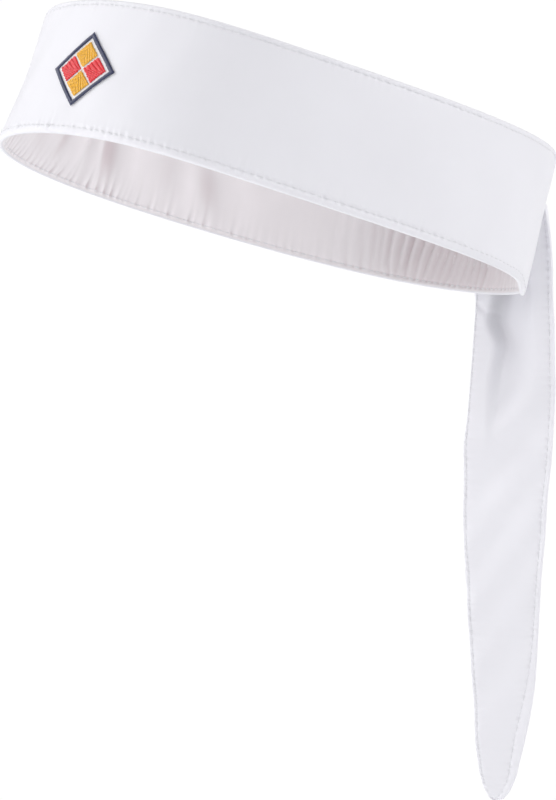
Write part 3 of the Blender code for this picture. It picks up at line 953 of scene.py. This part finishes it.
def ring_stitches(name, up, side, node):
    """A line of stitches all round one face of the band."""
    draws = np.random.default_rng(len(name))
    first = (np.arange(STITCHES) - STITCHES / 2) * PITCH + STITCH_GAP
    first = first + draws.normal(0, 0.05 * MM, STITCHES)
    last = first + PITCH - 2 * STITCH_GAP
    sink = draws.normal(0, 0.05 * MM, (STITCHES, 1))

    def place(arcs):
        relief = outer_relief(arcs, up) if side > 0 else lining_relief(arcs, up)
        face = face_out(up) if side > 0 else FACE_OUT + 0.1 * MM
        points, outward = band_place(arcs, side * (face + relief), up + sink)
        return points, outward * side

    give(thread_piece(name, *stitch_lines(first, last, place), THREAD, THREAD * 0.8), node)


def add_ring_stitches():
    ring_stitches("top_needle_stitches", TOP_LINE, 1, "top_needle_thread")
    ring_stitches("bottom_needle_stitches", BOTTOM_LINE, 1, "bottom_needle_thread")
    ring_stitches("top_bobbin_stitches", TOP_LINE, -1, "top_bobbin_thread")
    ring_stitches("bottom_bobbin_stitches", LINING_LINE, -1, "bottom_bobbin_thread")


# Badge


def badge_place(x, y, out):
    """Points and normals at a place on the badge, in its half width and half height."""
    arc, up = x * BADGE_HALF[0], y * BADGE_HALF[1] - BADGE_DROP
    return band_place(arc, FACE_OUT + outer_relief(arc, up) + out, up)


def strand_piece(name, starts, ends, finish, node):
    """Embroidery strands between pairs of badge places, each a slightly arched thread."""
    steps = np.linspace(0, 1, 6)
    x = starts[:, :1] + (ends - starts)[:, :1] * steps
    y = starts[:, 1:] + (ends - starts)[:, 1:] * steps
    arch = STRAND_ARCH * np.sqrt(np.sin(np.linspace(0.05, 0.95, 6) * math.pi)) + STRAND_LIFT
    points, normals = badge_place(x, y, arch[None, :])
    give(thread_piece(name, points, normals, *STRAND_SIZE, finish), node)


def cell_strands(centre, upright, seed):
    """Rows of stitches across one lozenge cell, broken so that the breaks don't line up."""
    draws = np.random.default_rng(seed)
    half = np.array(BADGE_HALF) * BADGE_CELL_SIZE
    run_axis, row_axis = (1, 0) if upright else (0, 1)
    count = int(2 * half[row_axis] / STRAND_PITCH)
    places = []
    for row in range(count):
        offset = (2 * (row + 0.5) / count - 1) * half[row_axis]
        reach = half[run_axis] * (1 - abs(offset) / half[row_axis]) + draws.normal(0, 0.07 * MM)
        breaks = np.arange(-reach - STRAND_RUN * ((row * 0.37) % 1), reach, STRAND_RUN)
        cuts = np.unique(np.clip(np.append(breaks, reach), -reach, reach))
        for low, high in zip(cuts[:-1], cuts[1:]):
            if high - low < SHORTEST_STRAND:
                continue
            for value in (low, high):
                place = [value, value]
                place[row_axis] = offset + draws.normal(0, 0.02 * MM)
                places.append(place)
    places = np.array(places) / BADGE_HALF + centre
    return places[::2], places[1::2]


def border_strands():
    """Satin stitches from the inner to the outer edge of the lozenge border."""
    draws = np.random.default_rng(21)
    count = int(math.hypot(*BADGE_HALF) / BORDER_PITCH)
    corners = np.array([(1, 0), (0, 1), (-1, 0), (0, -1), (1, 0)], float)
    shares = (np.arange(count) / count)[:, None]
    ring = np.vstack([a + (b - a) * shares for a, b in zip(corners[:-1], corners[1:])])
    inner = ring * (BADGE_INNER + draws.normal(0, 0.004, (len(ring), 1)))
    outer = ring * (1 + draws.normal(0, 0.004, (len(ring), 1)))
    return inner, outer


def add_badge():
    steps = np.linspace(-1, 1, 33)
    u, v = np.meshgrid(steps, steps, indexing="ij")
    x, y = GROUND_SIZE * (u - v) / 2, GROUND_SIZE * (u + v) / 2
    points, _ = badge_place(x, y, GROUND_LIFT)
    uv = np.stack([x * BADGE_HALF[0], y * BADGE_HALF[1]], -1) / MM
    ground = grid_piece("badge_ground_cloth", points, uv, "white_twill")
    thicken(ground, GROUND_THICKNESS)
    give(ground, "badge_ground")
    strand_piece("badge_border_embroidery", *border_strands(), "navy_thread", "badge_border")
    place = BADGE_CELL_PLACE
    cells = (
        ("top", (0, place), True, "yellow_thread"),
        ("bottom", (0, -place), True, "yellow_thread"),
        ("left", (place, 0), False, "red_thread"),
        ("right", (-place, 0), False, "red_thread"),
    )
    for seed, (side, centre, upright, finish) in enumerate(cells, start=22):
        strands = cell_strands(centre, upright, seed)
        strand_piece(f"badge_{side}_embroidery", *strands, finish, f"badge_{side}_cell")


# Care label


def add_care_label():
    """A blank satin label, sewn along its top edge, whose lower end curls off the lining."""
    distances = np.linspace(*LABEL_SIDES, 25)
    ups = np.linspace(*LABEL_ENDS, 33)
    arcs = HEAD_ROUND / 2 - distances
    share = (ups[0] - ups) / (ups[0] - ups[-1])
    curl = 0.22 + 0.9 * share[None, :] ** 2 + 0.15 * np.sin(distances / MM)[:, None] * share
    ripple = lining_relief(arcs[:, None], ups[None, :])
    points = band_point(arcs[:, None], -(FACE_OUT + ripple + curl * MM), ups[None, :])
    uv = np.stack(np.meshgrid(distances, ups, indexing="ij"), -1) / MM
    label = grid_piece("care_label_cloth", points, uv, "label_satin")
    thicken(label, LABEL_THICKNESS)
    give(label, "care_label")

    def place(seam):
        up = ups[0] - 1.0 * MM
        depth = FACE_OUT + lining_relief(seam, up) + 0.32 * MM
        points, outward = band_place(seam, -depth, up)
        return points, -outward

    first = arcs[-1] + np.arange(5) * LABEL_STITCH_PITCH
    lines = stitch_lines(first, first + LABEL_STITCH, place)
    give(thread_piece("care_label_stitches", *lines, THREAD, THREAD))


# Ties and knot


def tie_place(side, share, across, face):
    """Points on a tie: share runs from its sewn end to the knot, across and face from -1 to 1."""
    arc = TIE_ARCS[0] + (TIE_ARCS[1] - TIE_ARCS[0]) * share
    ease = smooth(share, 0.0, 0.85)
    half = TIE_HALVES[0] + (TIE_HALVES[1] - TIE_HALVES[0]) * ease
    out = FACE_OUT + TIE_LIFT + (KNOT_DEPTH - TIE_LIFT) * np.clip(2 * ease - 1, 0, 1)
    folds = np.sin(math.pi * (3.2 * across + 0.3 * side)) + 0.5 * np.sin(math.pi * (6.1 * across + 1.1))
    out = out + 0.55 * MM * ease * folds * (1 - across**4)
    round_edge = np.sqrt(np.clip(1 - np.abs(across) ** 14, 0, 1))
    hem = 0.12 * bump(np.abs(across), 0.93, 0.04) * (1 - ease)
    out = out + face * (0.5 + 0.45 * ease + hem) * MM * round_edge
    return band_place(HEAD_ROUND / 2 - side * arc - KNOT_SIDE, out, half * across)


def add_tie(name, side):
    shares = np.linspace(0, 1, 70)[:, None]
    across = np.cos(np.linspace(0, math.pi, 49))[None, :]
    outer, _ = tie_place(side, shares, across, 1)
    inner, _ = tie_place(side, shares, across[:, 1:-1], -1)
    points = np.concatenate([outer, inner[:, ::-1]], axis=1)
    rows_at = shares[:, 0] * (TIE_ARCS[0] - TIE_ARCS[1])
    give(tube_piece(f"{name}_cloth", points, rows_at), name)
    rows = np.linspace(-0.86, 0.86, 12)
    lines = stitch_lines(rows[:-1] + 0.012, rows[1:] - 0.012, lambda at: tie_place(side, 0.06, at, 1))
    give(thread_piece(f"{name}_stitches", *lines, THREAD, THREAD))


def knot_points(x, y, z):
    """Places in the knot's own axes, in millimetres: across the head, away from it and up."""
    lean = -math.atan(TAPER)
    c, s = math.cos(lean), math.sin(lean)
    turned = np.stack(np.broadcast_arrays(x, y * c - z * s, y * s + z * c), -1) * MM
    centre = band_point(HEAD_ROUND / 2 - KNOT_SIDE, FACE_OUT + KNOT_DEPTH + LAYER_GAP, 0.0)
    return tilted(turned) + centre


def add_knot_core():
    """The part one tie makes: a spindle across the head, pleated towards both its ends."""
    t = np.linspace(-1, 1, 61)[:, None]
    angle = circle(96)[None, :]
    body = np.sqrt(np.clip(1 - np.abs(t) ** 2.6, 0.02, 1))
    pleat = 0.075 * np.sin(7 * angle + 2.2 * t + 0.5) + 0.05 * np.sin(12 * angle - 3.0 * t)
    pleat = pleat * smooth(np.abs(t), 0.05, 0.5)
    radius = body * (0.93 + 0.10 * smooth(np.abs(t), 0.2, 0.5) + pleat)
    half, depth, height = CORE_RADII
    points = knot_points(half * t, depth * radius * np.cos(angle), height * radius * np.sin(angle))
    give(tube_piece("knot_core_cloth", points, half * MM * t[:, 0]), "knot_core")


def add_knot_wrap():
    """The part the other tie makes: a folded loop round the core."""
    turn = circle(120)[:, None]
    section = circle(72)[None, :]
    across = np.sign(np.cos(section)) * np.abs(np.cos(section)) ** 0.8
    folds = 0.42 * np.sin(5.2 * across + 0.9 * np.sin(turn + 0.5))
    folds = folds + 0.2 * np.sin(11.0 * across + 1.4 * np.cos(turn))
    lift = 1.05 * np.sin(section) + folds * np.maximum(np.sin(section), 0)
    width = 4.7 + 0.5 * np.sin(2 * turn + 0.8)
    x = width * across + 1.1 * np.sin(turn + 0.4)
    y = (WRAP_RADII[0] + 0.85 * lift) * np.cos(turn)
    z = (WRAP_RADII[1] + lift) * np.sin(turn)
    points = knot_points(x, y, z)
    uv = loop_uv(np.linspace(0, 2 * math.pi, 121) * 6 * MM, points)
    closed = {"closed_rows": True, "closed_columns": True}
    give(grid_piece("knot_wrap_cloth", points, uv, "white_microfibre", **closed), "knot_wrap")


# Tails


def tail_pivot(side):
    return np.array(JOINTS[f"{side}_tail_sway"]["pos_m"])


def tail_axes(side):
    """Directions across a tail's width and through its thickness."""
    turn = TAIL_FACING + TAILS[side]["turn"]
    along = np.array([math.cos(turn), math.sin(turn), 0])
    return along, np.array([-along[1], along[0], 0])


def tail_row(side, column, drop):
    """A tail edge in millimetres from the pivot line at this drop, smooth through the rows."""
    rows = np.array(TAILS[side]["rows"], float)
    drops, values = rows[:, 0], rows[:, column]
    slopes = np.gradient(values, drops)
    steps = np.abs(np.diff(values) / np.diff(drops))
    limit = 2 * np.minimum(steps[:-1], steps[1:])
    slopes[1:-1] = np.clip(slopes[1:-1], -limit, limit)
    i = np.clip(np.searchsorted(drops, drop) - 1, 0, len(drops) - 2)
    span = drops[i + 1] - drops[i]
    t = (drop - drops[i]) / span
    first = (2 * t**3 - 3 * t**2 + 1) * values[i] + (t**3 - 2 * t**2 + t) * span * slopes[i]
    return first + (3 * t**2 - 2 * t**3) * values[i + 1] + (t**3 - t**2) * span * slopes[i + 1]


def top_rounding(drop):
    """Nearly 0 at the very top of a tail, and 1 from its pivot down."""
    return np.sqrt(np.clip(1 - np.clip(-drop / GATHER_TOP, 0, 1) ** 2, 0.02, 1))


def tail_edges(side, drop):
    """Inner and outer edge in millimetres, drawn together to the gather at the top."""
    start = TAILS[side]["rows"][1][0]
    below = np.maximum(drop, start)
    spread = smooth(drop, -1.0, start)
    bunch = GATHER_HALF * top_rounding(drop)
    inner = -bunch + (tail_row(side, 1, below) + bunch) * spread
    outer = bunch + (tail_row(side, 2, below) - bunch) * spread
    return inner, outer


def fold_start(drop):
    """Where the left tail's deep fold begins across its width: it steps in and out on the way down."""
    return -7.2 - 1.8 * bump(drop, 54, 6) + 1.6 * bump(drop, 63, 6) - 1.0 * smooth(drop, 68, 90)


def left_folds(x, drop):
    """Broad folds of the left tail: a deep step below the band that turns into soft cross creases."""
    start = fold_start(drop)
    step = 6.5 * between(x, start - 0.8, start + 3.0, start + 2.0, 12.0) * between(drop, 14, 34, 54, 104)
    roll = 1.0 * smooth(x, 5, 18) * smooth(drop, 95, 30)
    ridge = -1.6 * bump(drop + 0.55 * x, 90, 7) * smooth(x, 17, 5)
    dip = 1.3 * bump(drop + 0.7 * x, 104, 8) * smooth(x, 17, 6)
    crease = 0.8 * bump(drop - 0.5 * x, 55, 1.4) * between(x, -13, -11, -8, -4)
    lower = 0.35 * np.sin((drop + 0.3 * x) / 9.0) * between(drop, 120, 150, 205, 229)
    clear_of_knot = 1.3 * between(drop, 2, 14, 28, 50)
    return step + roll + ridge + dip + crease + lower + clear_of_knot


def right_folds(x, drop):
    """Broad folds of the right tail: one long valley and a slow wave."""
    valley = 1.5 * bump(x, 2.0, 5.0) * between(drop, 16, 40, 80, 120)
    return valley + 0.5 * np.sin((drop - 0.6 * x) / 15.0) * between(drop, 70, 110, 150, 174)


def seam_insets(side, drop):
    """How far the stitching runs inside the inner and the outer edge, in millimetres."""
    length = TAILS[side]["rows"][-1][0]
    inner = 0.6 + 0.6 * smooth(drop, 80, 110)
    outer = 1.8 + 2.2 * bump(drop, length - 28, 22)
    return inner, outer


def tail_relief(side, from_inner, from_outer, drop):
    """How far a tail's face stands out beyond its plain thickness: hems, sewn lines and puckers."""
    seed = TAILS[side]["seed"]
    insets = seam_insets(side, drop)
    relief = 0.20 * smooth(from_outer, insets[1] + 0.25, insets[1] - 0.15)
    for own, gap in enumerate((from_inner, from_outer)):
        away = gap - insets[own]
        drawn = (0.06 + 0.30 * holes(drop, TAIL_PITCH)) * bump(away, 0, 0.5)
        loose = 0.8 * wander(drop / WANDER_LENGTH, seed + own + 1, (38, 85))
        ripple = loose - 0.7 * np.cos(2 * math.pi * drop / TAIL_PITCH)
        ripple = ripple * np.exp(-np.abs(away) / 2.6) * smooth(gap, 0, 0.6)
        relief = relief - drawn + 0.09 * ripple
    return relief * smooth(drop, 4, 14)


def tail_tone(side, share, drop):
    """Painted shade at the needle holes, lighter along the doubled hem, and painted shade in the left
    tail's deep fold.
    """
    inner, outer = tail_edges(side, drop)
    insets = seam_insets(side, drop)
    gaps = ((outer - inner) * share - insets[0], (outer - inner) * (1 - share) - insets[1])
    tone = 0.04 * smooth(gaps[1], 0.2, -0.2)
    # Painted shade at the needle holes of both seams.
    for gap in gaps:
        tone = tone - 0.16 * holes(drop, TAIL_PITCH) * bump(gap, 0, 0.42)
    # Painted shade down in the left tail's deep fold, under the band.
    if side == "left":
        x = inner + (outer - inner) * share - fold_start(drop)
        tone = tone - 0.19 * between(x, -0.5, 1.2, 3, 9) * between(drop, 26, 40, 46, 78)
    return tone * smooth(drop, 8, 14)


def tail_shape(side, share, drop, face):
    """Millimetre places on one face of a tail: across, through and drop."""
    tail = TAILS[side]
    inner, outer = tail_edges(side, drop)
    x = inner + (outer - inner) * share
    fan = np.sin(2 * math.pi * (tail["pleats"] * share + 0.1)) + 0.4 * np.sin(41 * share + 1)
    gathered = 1.1 * between(drop, 0, 9, 10, 62) * fan * (1 - (2 * share - 1) ** 6)
    folds = left_folds(x, drop) if side == "left" else right_folds(x, drop)
    soft = 0.22 * wander(drop / WANDER_LENGTH + 0.006 * x, tail["seed"], (4, 12)) * smooth(drop, 20, 50)
    half = PLY_HALF + 0.2 * smooth(np.minimum(share, 1 - share), 0, 0.15) + 2.0 * smooth(drop, 22, 1)
    half = np.minimum(half * top_rounding(drop), np.maximum(outer - inner, 0.05) / 2)
    edge = np.minimum(x - inner, outer - x)
    rounding = np.clip(edge / np.maximum(half, 0.55), 0, 1)
    half = half * np.sqrt(1 - (1 - rounding) ** 2)
    relief = tail_relief(side, x - inner, outer - x, drop) * smooth(edge, 0, 0.4)
    return x, gathered + folds + soft + face * (half + relief), drop


def tail_place(side, share, drop, face):
    along, through = tail_axes(side)
    x, y, fall = np.broadcast_arrays(*tail_shape(side, share, drop, face))
    points = x[..., None] * along + y[..., None] * through - fall[..., None] * np.array([0, 0, 1])
    return points * MM + tail_pivot(side)


def tail_normal(side, share, drop, face):
    """Outward directions on one face of a tail."""
    down = tail_place(side, share, drop + 0.3, face) - tail_place(side, share, drop - 0.3, face)
    across = tail_place(side, share + 0.01, drop, face) - tail_place(side, share - 0.01, drop, face)
    return unit(np.cross(down, across)) * -face


def tail_sheet(name, side, drops):
    """The doubled cloth of a tail between its first and last drop, as one closed skin."""
    shares = (1 - np.cos(np.linspace(0, math.pi, TAIL_COLUMNS + 1))) / 2
    drops = np.asarray(drops)[:, None]
    front = tail_place(side, shares[None, :], drops, -1)
    back = tail_place(side, shares[None, 1:-1], drops, 1)
    points = np.concatenate([front, back[:, ::-1]], axis=1)
    tone = tail_tone(side, shares[None, :], drops)
    tone = np.concatenate([tone, tone[:, -2:0:-1]], axis=1)
    return tube_piece(name, points, drops[:, 0] * MM, tone=tone)


def tail_stitches(name, side, first, last):
    """Stitches down both edges and on both faces of a tail."""
    starts = np.arange(math.ceil(first / TAIL_PITCH), int(last / TAIL_PITCH)) * TAIL_PITCH
    gap = STITCH_GAP / MM
    made = []
    for edge, face in ((0, -1), (0, 1), (1, -1), (1, 1)):

        def place(drops, edge=edge, face=face):
            inner, outer = tail_edges(side, drops)
            inset = seam_insets(side, drops)[edge] / (outer - inner)
            share = inset if edge == 0 else 1 - inset
            return tail_place(side, share, drops, face), tail_normal(side, share, drops, face)

        made.append(stitch_lines(starts + gap, starts + TAIL_PITCH - gap, place))
    lines, normals = (np.concatenate(parts) for parts in zip(*made))
    return thread_piece(name, lines, normals, THREAD, THREAD * 0.85)


def below(side, drop):
    return tail_pivot(side) - np.array([0, 0, drop * MM])


def add_tail(side):
    gather, upper, lower = (f"{side}_{part}" for part in ("gather", "upper", "lower"))
    turn = (below(side, 0), below(side, TURN_REACH))
    bend = TAILS[side]["bend"]
    fold = (below(side, bend - BEND_REACH), below(side, bend + BEND_REACH))
    tip = TAILS[side]["rows"][-1][0] - 0.05
    end = tip - TIP_REACH
    top_drops = np.append(np.linspace(-GATHER_TOP + 0.05, 2, 14), np.linspace(2.5, TAIL_SPLIT, 56))
    round_end = end + TIP_REACH * np.sin(np.linspace(0, math.pi / 2, 34))
    straight = np.linspace(TAIL_SPLIT, end, int((end - TAIL_SPLIT) / ROW_STEP))
    top = tail_sheet(f"{side}_tail_top_cloth", side, top_drops)
    join(top, gather, upper, *turn, f"{side}_tail_gather")
    cloth = tail_sheet(f"{side}_tail_cloth", side, np.append(straight, round_end[1:]))
    plies = [f"{side}_tail_{part}_{ply}_ply" for part in ("upper", "lower") for ply in ("front", "back")]
    join(cloth, upper, lower, *fold, *plies)
    stitches = tail_stitches(f"{side}_tail_stitches", side, TAIL_SPLIT, tip - 5)
    threads = [f"{side}_tail_{line}_thread" for line in ("upper_inner", "upper_outer", "lower")]
    join(stitches, upper, lower, *fold, *threads)
    top_stitches = tail_stitches(f"{side}_tail_top_stitches", side, TURN_REACH, TAIL_SPLIT)
    join(top_stitches, gather, upper, *turn)


def add_neck(side):
    """The gathered cloth between the knot and a tail, with folds that wind a little along it."""
    path = smooth_path(NECKS[side], NECK_STEPS) * MM + RING_CENTRE
    along = unit(np.gradient(path, axis=0))
    first = unit(np.cross(along, NECK_GUIDES[side]))
    second = np.cross(along, first)
    share = np.linspace(0, 1, NECK_STEPS)[:, None]
    angle = circle(60)[None, :]
    swell = 1 + 0.12 * smooth(share, 0.25, 0) + 0.06 * smooth(share, 0.75, 1)
    fold = 0.10 * np.sin(6 * angle + 4 * share) + 0.06 * np.sin(11 * angle - 5 * share + 1)
    radius = NECK_RADIUS * swell * (0.97 + fold)
    ring = first[:, None] * np.cos(angle)[..., None] + second[:, None] * np.sin(angle)[..., None]
    length = np.linalg.norm(np.diff(path, axis=0), axis=1).sum()
    points = path[:, None] + ring * radius[..., None]
    piece = tube_piece(f"{side}_neck_cloth", points, share[:, 0] * length)
    start = path[int(NECK_BENDS[side] * NECK_STEPS)]
    join(piece, "headband", f"{side}_gather", start, tail_pivot(side), f"{side}_tail_neck")


# Stage, light and camera


def white_to_camera(tree, shader, output):
    """Shows the camera plain white in place of this shader, which still lights the object."""
    white = tree.nodes.new("ShaderNodeEmission")
    white.inputs["Color"].default_value = (1, 1, 1, 1)
    white.inputs["Strength"].default_value = WHITE_GLOW
    ray = tree.nodes.new("ShaderNodeLightPath")
    choose = tree.nodes.new("ShaderNodeMixShader")
    tree.links.new(ray.outputs["Is Camera Ray"], choose.inputs[0])
    tree.links.new(shader, choose.inputs[1])
    tree.links.new(white.outputs[0], choose.inputs[2])
    tree.links.new(choose.outputs[0], output.inputs["Surface"])


def floor_material():
    """A pale matt surface that glows like a light table, and reads as plain white."""
    nodes = Nodes("pale_floor")
    shade = nodes.mix(nodes.noise(30.0, 2.0), colour(FLOOR_SHADE, 0.98), colour(FLOOR_SHADE))
    chosen = {
        "Base Color": shade,
        "Roughness": 0.9,
        "Emission Color": (1, 1, 1, 1),
        "Emission Strength": FLOOR_GLOW,
    }
    for key, value in chosen.items():
        nodes.set(nodes.shader.inputs[key], value)
    white_to_camera(nodes.tree, nodes.shader.outputs[0], nodes.tree.nodes["Material Output"])
    return nodes.material


def add_floor():
    low = CAD_BOX[0].z - FLOOR_GAP
    rim = [(FLOOR_RADIUS * math.cos(angle), FLOOR_RADIUS * math.sin(angle), low) for angle in circle(96)]
    data = bpy.data.meshes.new("studio_floor")
    data.from_pydata(rim, [], [list(range(len(rim)))])
    data.materials.append(floor_material())
    floor = bpy.data.objects.new("studio_floor", data)
    bpy.context.scene.collection.objects.link(floor)


def add_world():
    """An even light that the camera sees as plain white."""
    world = bpy.data.worlds.new("studio")
    bpy.context.scene.world = world
    world.use_nodes = True
    tree = world.node_tree
    light = tree.nodes["Background"]
    light.inputs["Color"].default_value = WORLD_COLOUR
    light.inputs["Strength"].default_value = WORLD_LIGHT
    white_to_camera(tree, light.outputs[0], tree.nodes["World Output"])


def direction(azimuth, elevation):
    """From the object towards a viewer at this azimuth and elevation, in degrees."""
    a, e = math.radians(azimuth), math.radians(elevation)
    return Vector((math.sin(a) * math.cos(e), -math.cos(a) * math.cos(e), math.sin(e)))


def add_softbox(name, azimuth, elevation, power):
    centre = Vector(RING_CENTRE) - Vector((0, 0, SOFTBOX_DROP))
    light = bpy.data.lights.new(name, "AREA")
    light.shape = "SQUARE"
    light.size = SOFTBOX_SIZE
    light.energy = power
    lamp = bpy.data.objects.new(name, light)
    toward = direction(azimuth, elevation)
    lamp.location = centre + toward * SOFTBOX_DISTANCE
    lamp.rotation_mode = "QUATERNION"
    lamp.rotation_quaternion = (-toward).to_track_quat("-Z", "Y")
    bpy.context.scene.collection.objects.link(lamp)


def add_lights():
    for name, settings in SOFTBOXES.items():
        add_softbox(name, *settings)


def add_camera():
    lens = bpy.data.cameras.new("camera")
    lens.lens = CAMERA_LENS
    lens.sensor_width = CAMERA_SENSOR
    lens.clip_start, lens.clip_end = CAMERA_CLIPS
    camera = bpy.data.objects.new("camera", lens)
    camera.location = Vector(CAMERA_PLACE) + Vector(RING_CENTRE)
    camera.rotation_mode = "QUATERNION"
    camera.rotation_quaternion = (-direction(*CAMERA_LOOK)).to_track_quat("-Z", "Y")
    bpy.context.scene.collection.objects.link(camera)
    bpy.context.scene.camera = camera
    view = bpy.context.scene.view_settings
    view.view_transform = "Standard"
    view.look = "None"


def add_band():
    add_outer_cloth()
    add_lining_cloth()
    add_filling()
    add_ring_stitches()
    add_badge()
    add_care_label()


def add_back():
    add_tie("left_tie", 1)
    add_tie("right_tie", -1)
    add_knot_core()
    add_knot_wrap()
    for side in TAILS:
        add_neck(side)
        add_tail(side)


add_band()
add_back()
add_floor()
add_world()
add_lights()
add_camera()
